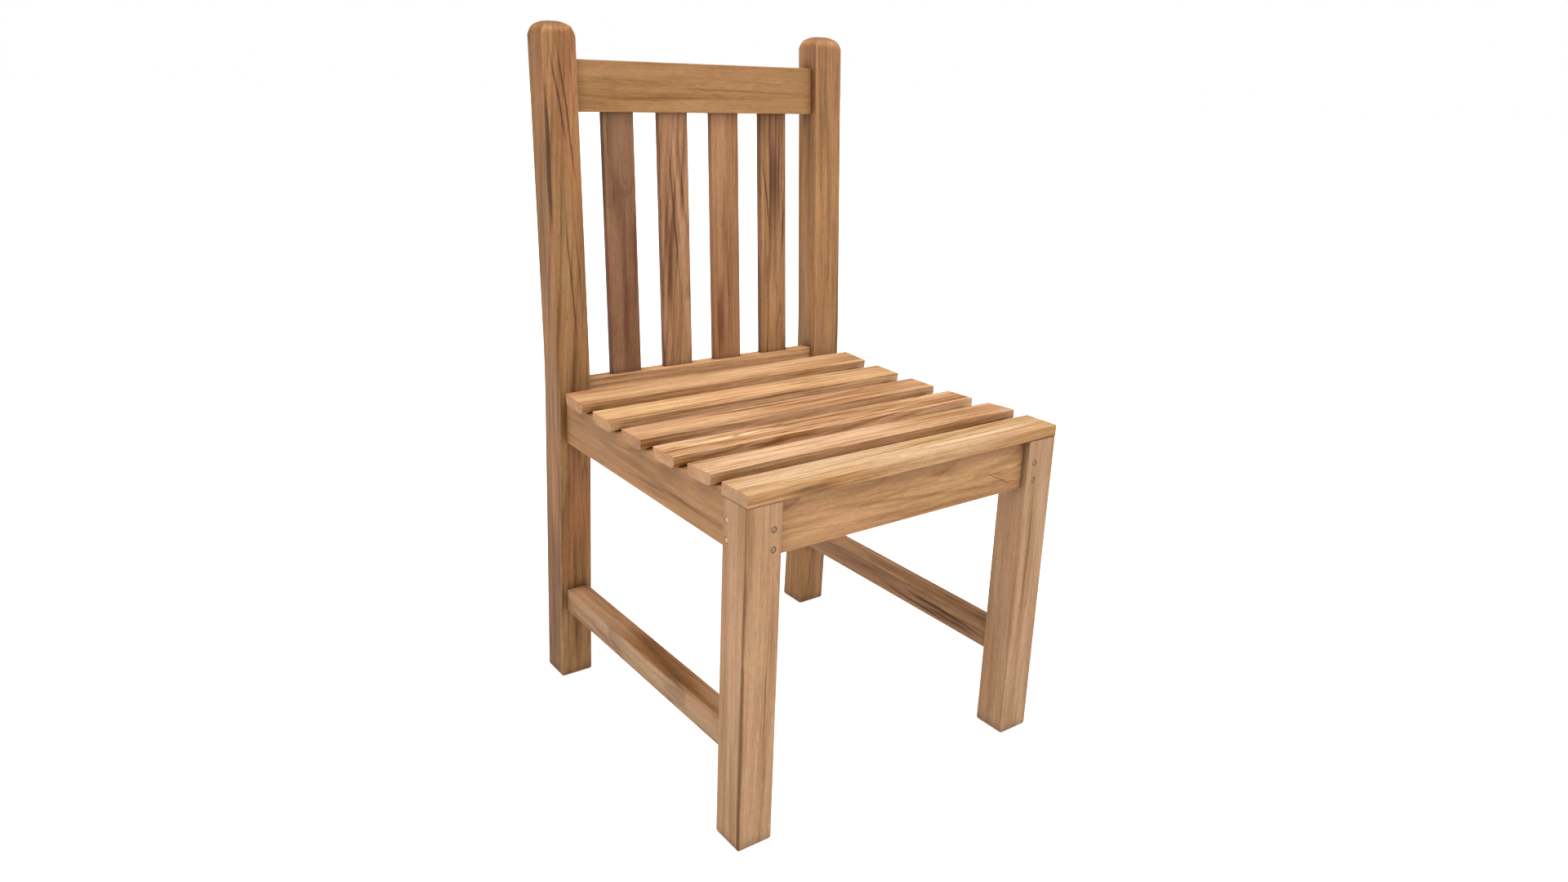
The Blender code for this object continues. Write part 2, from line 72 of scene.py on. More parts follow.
def linear(colour: str) -> tuple[float, float, float, float]:
    """Turns an sRGB hex colour into linear red, green, blue and full alpha.

    Args:
        colour: Six hex digits, such as "c89a6b".

    Returns:
        The four values that a colour socket takes.
    """
    shares = [int(colour[k : k + 2], 16) / 255 for k in (0, 2, 4)]
    lit = [s / 12.92 if s <= 0.04045 else ((s + 0.055) / 1.055) ** 2.4 for s in shares]
    return (*lit, 1.0)


def add(tree: bpy.types.NodeTree, kind: str, feeds: dict | None = None, **settings: object) -> bpy.types.Node:
    """Adds a node to a tree, with its settings, and feeds its inputs.

    Args:
        tree: The node tree.
        kind: The node's type name, without the part that all shader nodes share.
        feeds: Input name or number to a value, an output socket, or a node whose first live output is meant.
        settings: The node's own attributes.

    Returns:
        The new node.
    """
    prefix = "" if kind.startswith(("Geometry", "Function", "NodeGroup")) else "ShaderNode"
    made = tree.nodes.new(prefix + kind)
    for name, value in settings.items():
        setattr(made, name, value)
    for key, value in (feeds or {}).items():
        if isinstance(value, bpy.types.Node):
            value = next(output for output in value.outputs if output.enabled)
        if isinstance(value, bpy.types.NodeSocket):
            tree.links.new(value, made.inputs[key])
        else:
            made.inputs[key].default_value = value
    return made


def new_material(name: str) -> tuple[bpy.types.Material, bpy.types.NodeTree, bpy.types.Node]:
    """Makes an empty node material.

    Args:
        name: The material's name.

    Returns:
        The material, its node tree and its Principled shader.
    """
    material = bpy.data.materials.new(name)
    material.use_nodes = True
    tree = material.node_tree
    return material, tree, tree.nodes["Principled BSDF"]


def cells(across: float, along: float) -> tuple[float, float, float]:
    """Gives what to multiply a place by for so many noise cells per millimetre across and along the grain."""
    return (across, across, along)


# Wood.

# Noise cells for each millimetre across and along the grain.
BEND_CELLS = cells(0.022, 0.0045)
RIPPLE_CELLS = cells(0.12, 0.02)
FIBRE_CELLS = cells(1.1, 0.07)
PORE_CELLS = cells(1.6, 0.07)
VEIN_CELLS = cells(0.085, 0.0035)
BAND_CELLS = cells(0.055, 0.003)
WAVER_CELLS = cells(0.04, 0.014)
CLOUD_CELLS = cells(0.03, 0.006)
STREAK_RUN = 0.007  # cells along the grain for the narrow streaks, which each wood makes as wide as it likes
# What is added to a wood's seed, so that its noises differ.
TONE_SALT = 3
VEIN_SALT = 7
CLOUD_SALT = 11
WAVER_SALT = 19
# How wide the slow bends and the small ripples in the grain swing, for each millimetre of its wander.
BEND_SHARE = 2.0
RIPPLE_SHARE = 0.22
FAINTEST_RING = 0.15
RING_RISE = 2.4  # power of the rise to each ring's dark end
VEIN_HALF_WIDTH = 0.03  # in noise levels
STREAK_CORE = 0.25  # share of a streak that has its full tone
EVENING = 0.45  # how far a sawn end's colour is evened out
# Painted shade in creases and joints: how far it reaches, and the darkest share of the colour that it leaves.
PAINTED_SHADE_REACH = 18 * MM
DARKEST_PAINTED_SHADE = 0.5
GRAIN_RELIEF = 0.08 * MM


class Lie(Enum):
    """How a board lies: the way its grain runs, then the way its broad face looks."""

    ACROSS_FLAT = ("x", "z")
    ACROSS_ON_EDGE = ("x", "y")
    FORE_AND_AFT = ("y", "x")
    UPRIGHT = ("z", "y")

    def axes(self, turn: float = 0.0) -> Matrix:
        """Gives the board's own axes in the chair's frame.

        Args:
            turn: Angle about the chair's X axis, in radians, that tips the board out of true.

        Returns:
            A 3 by 3 matrix whose columns run across the board, out of its face, and along its grain.
        """
        unit = {"x": Vector((1, 0, 0)), "y": Vector((0, 1, 0)), "z": Vector((0, 0, 1))}
        along, face = (unit[letter] for letter in self.value)
        across = face.cross(along)
        return Matrix.Rotation(turn, 3, "X") @ Matrix((across, face, along)).transposed()


@dataclass(frozen=True)
class Knot:
    """A place where the grain swells round a small branch.

    The rings are pushed out by up to push millimetres, fading to nothing at the rim of an oval.
    """

    across: float
    along: float
    width: float
    length: float
    push: float


@dataclass(frozen=True)
class Streak:
    """A soft band in the grain, pointed at both ends, in millimetres from the middle of the board.

    It drifts across by slope for each millimetre along, and tone says how much deeper it is than the wood
    round it, or how much paler where it is below zero.
    """

    across: float
    along: float
    width: float
    length: float
    slope: float = 0.0
    tone: float = 0.6
    depth: float = 0.0  # place along the axis that comes out of the face
    reach: float = 1000.0  # how far it runs along that axis, which is right through unless it is set


@dataclass(frozen=True)
class Teak:
    """Sanded, unoiled teak. It is open and straight in the grain, with fine dark pores, a brown late-wood line
    at each growth ring, a few near-black mineral veins, and a dull waxy surface with next to no shine.

    Lengths are in millimetres. The pith is the middle of the log, seen from the middle of the board: far off it
    gives straight lines, and near by, with some lean, it gives arches.
    """

    pale: str
    deep: str
    ring: float = 4.5
    contrast: float = 0.45
    pith: tuple[float, float] = (30.0, 70.0)
    lean: tuple[float, float] = (0.01, 0.01)
    wander: float = 5.0  # how far the grain strays
    vein: float = 0.5
    vein_colour: str = "4a2e18"
    mottle: float = 0.5
    streak: float = 0.32
    streak_width: float = 4.0
    waver: float = 6.0  # how far the streaks stray
    edge: float = 0.0  # painted shade: how much darker the narrow sides are made than the face
    blush: str = "c08a68"
    blush_share: float = 0.25
    seed: float = 0.0
    rubbed_and_highlit: tuple[float, float, float] = (1.22, 1.22, 1.22)  # for rubbed wear and a painted highlight, what the corners' colour is multiplied by
    sawn: tuple[float, float, float] = (0.73, 0.62, 0.54)  # and the ends'
    knots: tuple[Knot, ...] = ()
    streaks: tuple[Streak, ...] = ()

    def material(self, name: str, place: Vector, axes: Matrix) -> bpy.types.Material:
        """Makes the wood of one board. The pattern is solid, so that it runs on round the corners.

        Args:
            name: The material's name.
            place: The middle of the board, in metres.
            axes: The board's own axes, as Lie.axes gives them.

        Returns:
            The material.
        """
        material, tree, shader = new_material(name)
        spot = add(tree, "TexCoord").outputs["Object"]
        feeds = {"Vector": spot, "Location": place, "Rotation": axes.to_euler(), "Scale": (MM, MM, MM)}
        board = add(tree, "Mapping", feeds, vector_type="TEXTURE")
        Grain(self, tree, board, axes).draw(shader)
        return material


@dataclass
class Grain:
    """The figure of one board, worked out as nodes. Places are in millimetres, with z along the grain."""

    wood: Teak
    tree: bpy.types.NodeTree
    board: bpy.types.Node  # the place along the board's own axes
    axes: Matrix

    def draw(self, shader: bpy.types.Node) -> None:
        """Makes the colour and the surface, and joins them to the shader.

        Args:
            shader: The Principled shader.
        """
        log = self._log()
        radius = self._radius(log)
        late = self._late_wood(radius)
        vein = self._veins(radius, log)
        spot = add(self.tree, "VectorMath", {0: log, 1: FIBRE_CELLS}, operation="MULTIPLY")
        fibre = add(self.tree, "TexNoise", {"Vector": spot, "Scale": 1.0, "Detail": 3.0, "Roughness": 0.65})
        pore = self._pores(log, late)
        colour = self._coloured(self._tone(log, late))
        colour = self._worn(self._lined(colour, vein, fibre, pore))
        self.tree.links.new(colour.outputs[2], shader.inputs["Base Color"])
        self._surface(shader, late, fibre, pore)

    def _log(self) -> bpy.types.Node:
        """Bends the board's axes with slow noise, and turns them to the log's, centred on the pith.

        Returns:
            A node that gives the place in the log.
        """
        pushed = self.board
        for scale, share in ((BEND_CELLS, BEND_SHARE), (RIPPLE_CELLS, RIPPLE_SHARE)):
            spot = add(self.tree, "VectorMath", {0: self.board, 1: scale}, operation="MULTIPLY")
            feeds = {"Vector": spot, "W": self.wood.seed, "Scale": 1.0, "Detail": 2.0}
            noise = add(self.tree, "TexNoise", feeds, noise_dimensions="4D").outputs["Color"]
            off = add(self.tree, "VectorMath", {0: noise, 1: (0.5, 0.5, 0.5)}, operation="SUBTRACT")
            size = add(self.tree, "VectorMath", {0: off, "Scale": share * self.wood.wander}, operation="SCALE")
            pushed = add(self.tree, "VectorMath", {0: pushed, 1: size}, operation="ADD")
        turn = (-self.wood.lean[1], self.wood.lean[0], 0.0)
        feeds = {"Vector": pushed, "Location": (*self.wood.pith, 0.0), "Rotation": turn}
        return add(self.tree, "Mapping", feeds, vector_type="TEXTURE")

    def _radius(self, log: bpy.types.Node) -> bpy.types.NodeSocket:
        """Works out the distance to the pith, with the knots' pushes.

        Args:
            log: The place in the log.

        Returns:
            The socket that gives the distance.
        """
        flat = add(self.tree, "VectorMath", {0: log, 1: (1.0, 1.0, 0.0)}, operation="MULTIPLY")
        radius = add(self.tree, "VectorMath", {0: flat}, operation="LENGTH").outputs["Value"]
        for knot in self.wood.knots:
            middle = (knot.across, 0.0, knot.along)
            off = add(self.tree, "VectorMath", {0: self.board, 1: middle}, operation="SUBTRACT")
            shrink = (1 / knot.width, 0.0, 1 / knot.length)
            oval = add(self.tree, "VectorMath", {0: off, 1: shrink}, operation="MULTIPLY")
            away = add(self.tree, "VectorMath", {0: oval}, operation="LENGTH").outputs["Value"]
            push = add(self.tree, "MapRange", {"Value": away, "To Min": knot.push, "To Max": 0.0}, **SMOOTH)
            radius = add(self.tree, "Math", {0: radius, 1: push}, operation="ADD").outputs[0]
        return radius

    def _late_wood(self, radius: bpy.types.NodeSocket) -> bpy.types.Node:
        """Gives how dark each growth ring is, from 0 to 1.

        The share of a ring already grown is raised to a power, so it darkens towards the ring's end and drops
        off sharply, and each ring's own random number sets how strong it is.

        Args:
            radius: The distance to the pith.

        Returns:
            The node that gives the darkness.
        """
        count = add(self.tree, "Math", {0: radius, 1: self.wood.ring}, operation="DIVIDE")
        share = add(self.tree, "Math", {0: count}, operation="FRACT")
        whole = add(self.tree, "Math", {0: count}, operation="FLOOR")
        number = add(self.tree, "Math", {0: whole, 1: self.wood.seed}, operation="ADD")
        chance = add(self.tree, "TexWhiteNoise", {"W": number}, noise_dimensions="1D").outputs["Value"]
        strength = add(self.tree, "MapRange", {"Value": chance, "To Min": FAINTEST_RING, "To Max": 1.0})
        rise = add(self.tree, "Math", {0: share, 1: RING_RISE}, operation="POWER")
        return add(self.tree, "Math", {0: rise, 1: strength}, operation="MULTIPLY")

    def _veins(self, radius: bpy.types.NodeSocket, log: bpy.types.Node) -> bpy.types.Node:
        """Gives the mineral veins, from 0 to 1: the thin contour lines of a slow noise over radius and run.

        Args:
            radius: The distance to the pith.
            log: The place in the log.

        Returns:
            The node that gives the veins.
        """
        run = add(self.tree, "SeparateXYZ", {0: log}).outputs["Z"]
        across = add(self.tree, "Math", {0: radius, 1: VEIN_CELLS[0]}, operation="MULTIPLY")
        along = add(self.tree, "Math", {0: run, 1: VEIN_CELLS[2]}, operation="MULTIPLY")
        place = add(self.tree, "CombineXYZ", {"X": across, "Y": along, "Z": self.wood.seed})
        level = add(self.tree, "TexNoise", {"Vector": place, "Scale": 1.0, "Detail": 3.0, "Roughness": 0.5})
        off = add(self.tree, "Math", {0: level, 1: 0.5}, operation="SUBTRACT")
        near = add(self.tree, "Math", {0: off}, operation="ABSOLUTE")
        feeds = {"Value": near, "From Max": VEIN_HALF_WIDTH, "To Min": 1.0, "To Max": 0.0}
        line = add(self.tree, "MapRange", feeds, **SMOOTH)
        feeds = {"Vector": place, "W": self.wood.seed + VEIN_SALT, "Scale": 1.7}
        patch = add(self.tree, "TexNoise", feeds, noise_dimensions="4D")
        feeds = {"Value": patch, "From Min": 0.45, "From Max": 0.62, "To Max": self.wood.vein}
        shown = add(self.tree, "MapRange", feeds, **SMOOTH)
        return add(self.tree, "Math", {0: line, 1: shown}, operation="MULTIPLY")

    def _pores(self, log: bpy.types.Node, late: bpy.types.Node) -> bpy.types.Node:
        """Gives the open pores, from 0 to 1: short dark dashes 0.3 mm wide, fewest in the late wood.

        Real pores are half as wide, too fine to show, so they are drawn coarser.

        Args:
            log: The place in the log.
            late: How dark the growth ring is.

        Returns:
            The node that gives the pores.
        """
        spot = add(self.tree, "VectorMath", {0: log, 1: PORE_CELLS}, operation="MULTIPLY")
        dash = add(self.tree, "TexNoise", {"Vector": spot, "Scale": 1.0, "Detail": 1.0})
        hole = add(self.tree, "MapRange", {"Value": dash, "From Min": 0.6, "From Max": 0.72}, **SMOOTH)
        early = add(self.tree, "MapRange", {"Value": late, "To Min": 1.0, "To Max": 0.3})
        return add(self.tree, "Math", {0: hole, 1: early}, operation="MULTIPLY")

    def _tone(self, log: bpy.types.Node, late: bpy.types.Node) -> bpy.types.Node:
        """Gives how far the wood is from its pale to its deep colour: broad bands and narrow streaks that run
        with the grain, the growth rings, and painted shade that darkens the narrow sides of a board below its
        face.

        Args:
            log: The place in the log.
            late: How dark the growth ring is.

        Returns:
            The node that gives the tone, 0 for pale and 1 for deep, and more where the wood is stained.
        """
        wood = self.wood
        total = add(self.tree, "Math", {0: late, 1: wood.contrast}, operation="MULTIPLY")
        layers = ((BAND_CELLS, wood.mottle), (cells(1 / wood.streak_width, STREAK_RUN), wood.streak))
        for number, (scale, share) in enumerate(layers):
            spot = add(self.tree, "VectorMath", {0: log, 1: scale}, operation="MULTIPLY")
            feeds = {"Vector": spot, "W": wood.seed + TONE_SALT + number, "Scale": 1.0, "Detail": 3.0}
            noise = add(self.tree, "TexNoise", feeds, noise_dimensions="4D")
            feeds = {"Value": noise, "From Min": 0.36, "From Max": 0.66, "To Max": share}
            band = add(self.tree, "MapRange", feeds, **SMOOTH)
            total = add(self.tree, "Math", {0: total, 1: band}, operation="ADD")
        total = self._streaked(total)
        # Painted shade: the narrow sides are darkened by how far their normal lies across the board.
        normal = add(self.tree, "NewGeometry").outputs["Normal"]
        feeds = {0: normal, 1: self.axes.col[0]}
        side = add(self.tree, "VectorMath", feeds, operation="DOT_PRODUCT").outputs["Value"]
        side = add(self.tree, "Math", {0: side}, operation="ABSOLUTE")
        return add(self.tree, "Math", {0: side, 1: wood.edge, 2: total}, operation="MULTIPLY_ADD")

    def _streaked(self, total: bpy.types.Node) -> bpy.types.Node:
        """Adds the board's own streaks to the tone.

        Each is a long thin oval: the place is shifted to its middle, turned to its slope and divided by its
        half-sizes, and what is left is 0 at the middle and 1 at the rim. A shared waver bends them all.

        Args:
            total: The tone so far.

        Returns:
            The node that gives the tone.
        """
        wood = self.wood
        if not wood.streaks:
            return total
        spot = add(self.tree, "VectorMath", {0: self.board, 1: WAVER_CELLS}, operation="MULTIPLY")
        feeds = {"Vector": spot, "W": wood.seed + WAVER_SALT, "Scale": 1.0, "Detail": 3.0, "Roughness": 0.6}
        waver = add(self.tree, "TexNoise", feeds, noise_dimensions="4D").outputs["Color"]
        feeds = {0: waver, 1: (wood.waver, 0.0, wood.waver), 2: self.board}
        bent = add(self.tree, "VectorMath", feeds, operation="MULTIPLY_ADD")
        shift = wood.waver / 2
        for streak in wood.streaks:
            middle = (streak.across + shift, streak.depth, streak.along + shift)
            half = (streak.width / 2, streak.reach / 2, streak.length / 2)
            turn = (0.0, math.atan(streak.slope), 0.0)
            feeds = {"Vector": bent, "Location": middle, "Rotation": turn, "Scale": half}
            local = add(self.tree, "Mapping", feeds, vector_type="TEXTURE")
            away = add(self.tree, "VectorMath", {0: local}, operation="LENGTH").outputs["Value"]
            feeds = {"Value": away, "From Min": STREAK_CORE, "To Min": streak.tone, "To Max": 0.0}
            band = add(self.tree, "MapRange", feeds, **SMOOTH)
            total = add(self.tree, "Math", {0: total, 1: band}, operation="ADD")
        return total

    def _coloured(self, tone: bpy.types.Node) -> bpy.types.Node:
        """Turns the tone into colour, with a tint in broad patches and a stain where the tone is over 1.

        Args:
            tone: The tone.

        Returns:
            The node that gives the colour.
        """
        wood = self.wood
        feeds = {"Factor": tone, 6: linear(wood.pale), 7: linear(wood.deep)}
        colour = add(self.tree, "Mix", feeds, data_type="RGBA")
        spot = add(self.tree, "VectorMath", {0: self.board, 1: CLOUD_CELLS}, operation="MULTIPLY")
        feeds = {"Vector": spot, "W": wood.seed + CLOUD_SALT, "Scale": 1.0, "Detail": 2.0}
        cloud = add(self.tree, "TexNoise", feeds, noise_dimensions="4D")
        feeds = {"Value": cloud, "From Min": 0.4, "From Max": 0.65, "To Max": wood.blush_share}
        share = add(self.tree, "MapRange", feeds, **SMOOTH)
        colour = add(self.tree, "Mix", {"Factor": share, 6: colour, 7: linear(wood.blush)}, data_type="RGBA")
        stain = add(self.tree, "MapRange", {"Value": tone, "From Min": 0.95, "From Max": 1.7, "To Max": 0.85})
        feeds = {"Factor": stain, 6: colour, 7: linear(wood.vein_colour)}
        return add(self.tree, "Mix", feeds, data_type="RGBA")

    def _lined(
        self, colour: bpy.types.Node, vein: bpy.types.Node, fibre: bpy.types.Node, pore: bpy.types.Node
    ) -> bpy.types.Node:
        """Lays the veins, the fibres and the pores over the wood's colour.

        Args:
            colour: The colour so far.
            vein: The mineral veins.
            fibre: The fine noise along the grain.
            pore: The open pores.

        Returns:
            The node that gives the lined colour.
        """
        feeds = {"Factor": vein, 6: colour, 7: linear(self.wood.vein_colour)}
        colour = add(self.tree, "Mix", feeds, data_type="RGBA")
        feeds = {"Value": fibre, "From Min": 0.3, "From Max": 0.7, "To Min": 0.8, "To Max": 1.16}
        silk = add(self.tree, "MapRange", feeds)
        open_pore = add(self.tree, "MapRange", {"Value": pore, "To Min": 1.0, "To Max": 0.7})
        shade = add(self.tree, "Math", {0: silk, 1: open_pore}, operation="MULTIPLY")
        return add(self.tree, "VectorMath", {0: colour, "Scale": shade}, operation="SCALE")

    def _worn(self, colour: bpy.types.Node) -> bpy.types.Node:
        """Pales eased corners with wear and a painted highlight, dulls and evens sawn ends, paints shade into
        joints.

        A corner is where the normal lies far from all three of the board's axes, and an end is where it lies
        along the grain.

        Args:
            colour: The colour so far.

        Returns:
            The node that gives the worn colour.
        """
        normal = add(self.tree, "NewGeometry").outputs["Normal"]
        shares = []
        for column in self.axes.transposed():
            feeds = {0: normal, 1: column}
            dot = add(self.tree, "VectorMath", feeds, operation="DOT_PRODUCT").outputs["Value"]
            shares.append(add(self.tree, "Math", {0: dot}, operation="ABSOLUTE"))
        most = add(self.tree, "Math", {0: shares[0], 1: shares[1]}, operation="MAXIMUM")
        most = add(self.tree, "Math", {0: most, 1: shares[2]}, operation="MAXIMUM")
        corner = add(self.tree, "MapRange", {"Value": most, "From Min": 0.985, "From Max": 0.85}, **SMOOTH)
        end = add(self.tree, "MapRange", {"Value": shares[2], "From Min": 0.5, "From Max": 0.9}, **SMOOTH)
        feeds = {"Factor": EVENING, 6: colour, 7: linear(self.wood.pale)}
        even = add(self.tree, "Mix", feeds, data_type="RGBA")
        # Painted shade: an ambient occlusion node darkens the colour in creases, in joints and under
        # neighbouring parts.
        near = add(self.tree, "AmbientOcclusion", {"Distance": PAINTED_SHADE_REACH}, samples=8).outputs["AO"]
        feeds = {"Value": near, "From Min": 0.35, "From Max": 0.95, "To Min": DARKEST_PAINTED_SHADE, "To Max": 1.0}
        painted_shade = add(self.tree, "MapRange", feeds)
        colour = add(self.tree, "VectorMath", {0: colour, "Scale": painted_shade}, operation="SCALE")
        # Painted highlight, with some wear: the eased corners' colour is made paler, partly rubbed and partly
        # as if they catch the light.
        pale = add(self.tree, "VectorMath", {0: colour, 1: self.wood.rubbed_and_highlit}, operation="MULTIPLY")
        dull = add(self.tree, "VectorMath", {0: even, 1: self.wood.sawn}, operation="MULTIPLY")
        eased = add(self.tree, "Mix", {"Factor": corner, 6: colour, 7: pale}, data_type="RGBA")
        return add(self.tree, "Mix", {"Factor": end, 6: eased, 7: dull}, data_type="RGBA")

    def _surface(
        self, shader: bpy.types.Node, late: bpy.types.Node, fibre: bpy.types.Node, pore: bpy.types.Node
    ) -> None:
        """Sets the shine, and raises the late wood and sinks the pores by a few hundredths of a millimetre.

        Args:
            shader: The Principled shader.
            late: How dark the growth ring is.
            fibre: The fine noise along the grain.
            pore: The open pores.
        """
        feeds = {"Value": fibre, "From Min": 0.3, "From Max": 0.7, "To Min": 0.5, "To Max": 0.66}
        rough = add(self.tree, "MapRange", feeds)
        self.tree.links.new(rough.outputs[0], shader.inputs["Roughness"])
        shader.inputs["IOR"].default_value = 1.48
        shader.inputs["Specular IOR Level"].default_value = 0.35
        ridge = add(self.tree, "Math", {0: late, 1: 0.4}, operation="MULTIPLY")
        hair = add(self.tree, "Math", {0: fibre, 1: 0.8, 2: ridge}, operation="MULTIPLY_ADD")
        height = add(self.tree, "Math", {0: hair, 1: pore}, operation="SUBTRACT")
        bump = add(self.tree, "Bump", {"Height": height, "Strength": 0.5, "Distance": GRAIN_RELIEF})
        self.tree.links.new(bump.outputs[0], shader.inputs["Normal"])


# Other finishes.


@dataclass(frozen=True)
class DowelEnd:
    """The sawn end of a hardwood dowel. It is matt and a little fuzzy, and its colour darkens towards its
    rim.
    """

    pale: str
    deep: str
    rim_colour: str
    rim_start_radius: float = 2.3  # in millimetres, where the darkening starts
    rim_end_radius: float = 3.3
    speck: float = 1.1  # noise cells per millimetre

    def material(self, name: str, place: Vector, across: tuple[float, float, float]) -> bpy.types.Material:
        """Makes the end grain of one peg.

        Args:
            name: The material's name.
            place: The middle of the peg, in metres.
            across: One for each axis that lies in the end's plane, and nought for the peg's own.

        Returns:
            The material.
        """
        material, tree, shader = new_material(name)
        spot = add(tree, "TexCoord").outputs["Object"]
        feeds = {"Vector": spot, "Location": place, "Scale": (MM, MM, MM)}
        local = add(tree, "Mapping", feeds, vector_type="TEXTURE")
        fuzz = add(tree, "TexNoise", {"Vector": local, "Scale": self.speck, "Detail": 3.0})
        flat = add(tree, "VectorMath", {0: local, 1: across}, operation="MULTIPLY")
        away = add(tree, "VectorMath", {0: flat}, operation="LENGTH").outputs["Value"]
        # The end's colour turns darker towards its rim.
        feeds = {"Value": away, "From Min": self.rim_start_radius, "From Max": self.rim_end_radius}
        rim = add(tree, "MapRange", feeds, **SMOOTH)
        feeds = {"Factor": fuzz, 6: linear(self.pale), 7: linear(self.deep)}
        core = add(tree, "Mix", feeds, data_type="RGBA")
        colour = add(tree, "Mix", {"Factor": rim, 6: core, 7: linear(self.rim_colour)}, data_type="RGBA")
        tree.links.new(colour.outputs[2], shader.inputs["Base Color"])
        bump = add(tree, "Bump", {"Height": fuzz, "Strength": 0.6, "Distance": 0.15 * MM})
        tree.links.new(bump.outputs[0], shader.inputs["Normal"])
        rough = add(tree, "MapRange", {"Value": fuzz, "To Min": 0.6, "To Max": 0.8})
        tree.links.new(rough.outputs[0], shader.inputs["Roughness"])
        return material


@dataclass(frozen=True)
class ZincPlate:
    """Bright zinc plated on steel. It is a cool metal whose shine is broken by a faint blotchy dulling."""

    bright: str = "c9c8c2"
    dull: str = "9c9b94"
    blotch: float = 900.0  # noise cells per metre

    def material(self) -> bpy.types.Material:
        """Makes the plating that all the screws share.

        Returns:
            The material.
        """
        material, tree, shader = new_material("steel_zinc_plated")
        spot = add(tree, "TexCoord").outputs["Object"]
        blotch = add(tree, "TexNoise", {"Vector": spot, "Scale": self.blotch, "Detail": 3.0})
        feeds = {"Factor": blotch, 6: linear(self.bright), 7: linear(self.dull)}
        colour = add(tree, "Mix", feeds, data_type="RGBA")
        tree.links.new(colour.outputs[2], shader.inputs["Base Color"])
        rough = add(tree, "MapRange", {"Value": blotch, "To Min": 0.28, "To Max": 0.5})
        tree.links.new(rough.outputs[0], shader.inputs["Roughness"])
        shader.inputs["Metallic"].default_value = 1.0
        return material


@dataclass(frozen=True)
class SweepPaint:
    """The matt white paint of a studio floor. It scatters light evenly, and a little light of its own thins the
    shadows that lie on it.
    """

    colour: str = "e8e8e8"
    glow: float = 0.6

    def material(self) -> bpy.types.Material:
        """Makes the floor's paint.

        Returns:
            The material.
        """
        material, tree, shader = new_material("floor_matt_white_paint")
        shader.inputs["Base Color"].default_value = linear(self.colour)
        shader.inputs["Roughness"].default_value = 0.9
        shader.inputs["Emission Color"].default_value = (1.0, 1.0, 1.0, 1.0)
        seen = add(tree, "LightPath").outputs["Is Camera Ray"]
        glow = add(tree, "Math", {0: seen, 1: self.glow}, operation="MULTIPLY")
        tree.links.new(glow.outputs[0], shader.inputs["Emission Strength"])
        return material


# Boards.

MERGE_REACH = 0.005 * MM
SHARP_ANGLE = math.radians(50)


def soften(piece: bpy.types.Object, tree: bpy.types.NodeTree) -> None:
    """Shades a packed board's eased corners as curves and keeps its flats flat, with modifiers only.

    Args:
        piece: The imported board.
        tree: The geometry nodes that join its triangles and smooth the shallow edges.
    """
    join = piece.modifiers.new("join", "NODES")
    join.node_group = tree
    even = piece.modifiers.new("even", "WEIGHTED_NORMAL")
    even.keep_sharp = True
    even.weight = 100


def joining_nodes() -> bpy.types.NodeTree:
    """Makes geometry nodes that merge doubles, smooth every face, and keep the steep edges sharp.

    Returns:
        The node tree.
    """
    tree = bpy.data.node_groups.new("join_and_smooth", "GeometryNodeTree")
    tree.interface.new_socket("Geometry", in_out="INPUT", socket_type="NodeSocketGeometry")
    tree.interface.new_socket("Geometry", in_out="OUTPUT", socket_type="NodeSocketGeometry")
    shape = add(tree, "NodeGroupInput")
    merged = add(tree, "GeometryNodeMergeByDistance", {"Geometry": shape, "Distance": MERGE_REACH})
    round_faces = add(tree, "GeometryNodeSetShadeSmooth", {"Geometry": merged, "Shade Smooth": True})
    angle = add(tree, "GeometryNodeInputMeshEdgeAngle").outputs["Unsigned Angle"]
    shallow = add(tree, "FunctionNodeCompare", {0: angle, 1: SHARP_ANGLE}, operation="LESS_THAN")
    feeds = {"Geometry": round_faces, "Shade Smooth": shallow}
    edges = add(tree, "GeometryNodeSetShadeSmooth", feeds, domain="EDGE")
    add(tree, "NodeGroupOutput", {0: edges})
    return tree


def dish_turn(node: str, radius: float) -> float:
    """Works out how far a piece leans where it lies on the dished rails.

    Args:
        node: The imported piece's name.
        radius: The dish's radius.

    Returns:
        The angle about the chair's X axis, in radians. It is 0 midway between the first and the fifth slat.
    """
    middles = [(low[1] + high[1]) / 2 for low, high in map(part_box, (node, "seat_slat_1", "seat_slat_5"))]
    return math.asin((middles[0] - (middles[1] + middles[2]) / 2) / radius)


@dataclass
class Timber:
    """Dresses packed boards in teak. One is shared by all the sub-assemblies."""

    tree: bpy.types.NodeTree = field(default_factory=joining_nodes)

    def dress(self, node: str, lie: Lie, wood: Teak, turn: float = 0.0) -> None:
        """Gives a packed board its wood and softens its corners.

        Args:
            node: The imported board's name.
            lie: How it lies.
            wood: Its wood.
            turn: Angle about the chair's X axis, in radians, that tips it out of true.
        """
        piece = bpy.data.objects[node]
        low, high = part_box(node)
        material = wood.material(f"teak_sanded_{node}", (low + high) / 2, lie.axes(turn))
        piece.data.materials.clear()
        piece.data.materials.append(material)
        soften(piece, self.tree)
        LOG.info("dressed %s", node)


